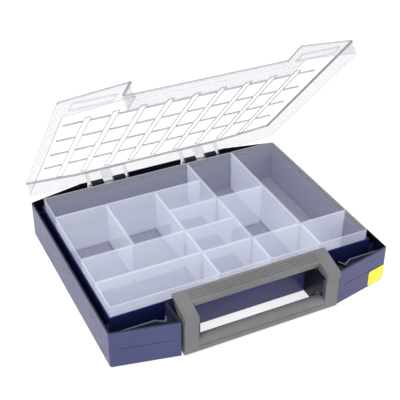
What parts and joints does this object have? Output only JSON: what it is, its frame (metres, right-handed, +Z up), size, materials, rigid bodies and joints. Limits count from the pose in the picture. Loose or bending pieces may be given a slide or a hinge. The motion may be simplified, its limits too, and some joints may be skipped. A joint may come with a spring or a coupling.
{
  "type": "parts organizer",
  "caption": "Flat carry case with a clear hinged lid, a front handle that latches it, and lift-out bins of several sizes on one module.",
  "frame": {"origin": "on the case's underside, below the middle of the bin field", "axes": "+Z up from the surface it lies on, -Y towards the handle, +X to the right seen from the handle side"},
  "size_m": [0.4183, 0.3836, 0.333],
  "materials": {
    "navy_shell": "satin",
    "clear_lid": "gloss",
    "grey_handle": "matte",
    "yellow_tag": "satin",
    "pin_steel": "satin",
    "milky_bin": "satin"
  },
  "bodies": {
    "case": {"case": "navy_shell", "corner_tag": "yellow_tag", "hinge_pin_left": "pin_steel", "hinge_pin_right": "pin_steel"},
    "lid": {"lid": "clear_lid"},
    "handle": {"handle": "grey_handle"},
    "bin_back_long": {"bin_back_long": "milky_bin"},
    "bin_left_square": {"bin_left_square": "milky_bin"},
    "bin_middle_square": {"bin_middle_square": "milky_bin"},
    "bin_middle_small_rear": {"bin_middle_small_rear": "milky_bin"},
    "bin_middle_small_centre": {"bin_middle_small_centre": "milky_bin"},
    "bin_left_wide_rear": {"bin_left_wide_rear": "milky_bin"},
    "bin_left_wide_front": {"bin_left_wide_front": "milky_bin"},
    "bin_middle_small_low": {"bin_middle_small_low": "milky_bin"},
    "bin_middle_small_front": {"bin_middle_small_front": "milky_bin"},
    "bin_right_small_front": {"bin_right_small_front": "milky_bin"},
    "bin_right_square_rear": {"bin_right_square_rear": "milky_bin"},
    "bin_right_square_front": {"bin_right_square_front": "milky_bin"},
    "bin_right_large": {"bin_right_large": "milky_bin"},
    "bin_corner_small": {"bin_corner_small": "milky_bin"}
  },
  "joints": [
    {"name": "lid_hinge", "type": "hinge", "parent": "case", "child": "lid", "pos_m": [0, 0.17, 0.0532], "axis": [-1, 0, 0], "range_deg": [-48, 51]},
    {"name": "handle_latch", "type": "hinge", "parent": "case", "child": "handle", "pos_m": [0, -0.171, 0.03], "axis": [1, 0, 0], "range_deg": [-11, 2.5]},
    {"name": "lift_back_long", "type": "slide", "parent": "case", "child": "bin_back_long", "axis": [0, 0, 1], "range_m": [0, 0.045]},
    {"name": "lift_left_square", "type": "slide", "parent": "case", "child": "bin_left_square", "axis": [0, 0, 1], "range_m": [0, 0.075]},
    {"name": "lift_middle_square", "type": "slide", "parent": "case", "child": "bin_middle_square", "axis": [0, 0, 1], "range_m": [0, 0.075]},
    {"name": "lift_middle_small_rear", "type": "slide", "parent": "case", "child": "bin_middle_small_rear", "axis": [0, 0, 1], "range_m": [0, 0.075]},
    {"name": "lift_middle_small_centre", "type": "slide", "parent": "case", "child": "bin_middle_small_centre", "axis": [0, 0, 1], "range_m": [0, 0.075]},
    {"name": "lift_left_wide_rear", "type": "slide", "parent": "case", "child": "bin_left_wide_rear", "axis": [0, 0, 1], "range_m": [0, 0.075]},
    {"name": "lift_left_wide_front", "type": "slide", "parent": "case", "child": "bin_left_wide_front", "axis": [0, 0, 1], "range_m": [0, 0.075]},
    {"name": "lift_middle_small_low", "type": "slide", "parent": "case", "child": "bin_middle_small_low", "axis": [0, 0, 1], "range_m": [0, 0.075]},
    {"name": "lift_middle_small_front", "type": "slide", "parent": "case", "child": "bin_middle_small_front", "axis": [0, 0, 1], "range_m": [0, 0.075]},
    {"name": "lift_right_small_front", "type": "slide", "parent": "case", "child": "bin_right_small_front", "axis": [0, 0, 1], "range_m": [0, 0.075]},
    {"name": "lift_right_square_rear", "type": "slide", "parent": "case", "child": "bin_right_square_rear", "axis": [0, 0, 1], "range_m": [0, 0.045]},
    {"name": "lift_right_square_front", "type": "slide", "parent": "case", "child": "bin_right_square_front", "axis": [0, 0, 1], "range_m": [0, 0.075]},
    {"name": "lift_right_large", "type": "slide", "parent": "case", "child": "bin_right_large", "axis": [0, 0, 1], "range_m": [0, 0.045]},
    {"name": "lift_corner_small", "type": "slide", "parent": "case", "child": "bin_corner_small", "axis": [0, 0, 1], "range_m": [0, 0.075]}
  ]
}
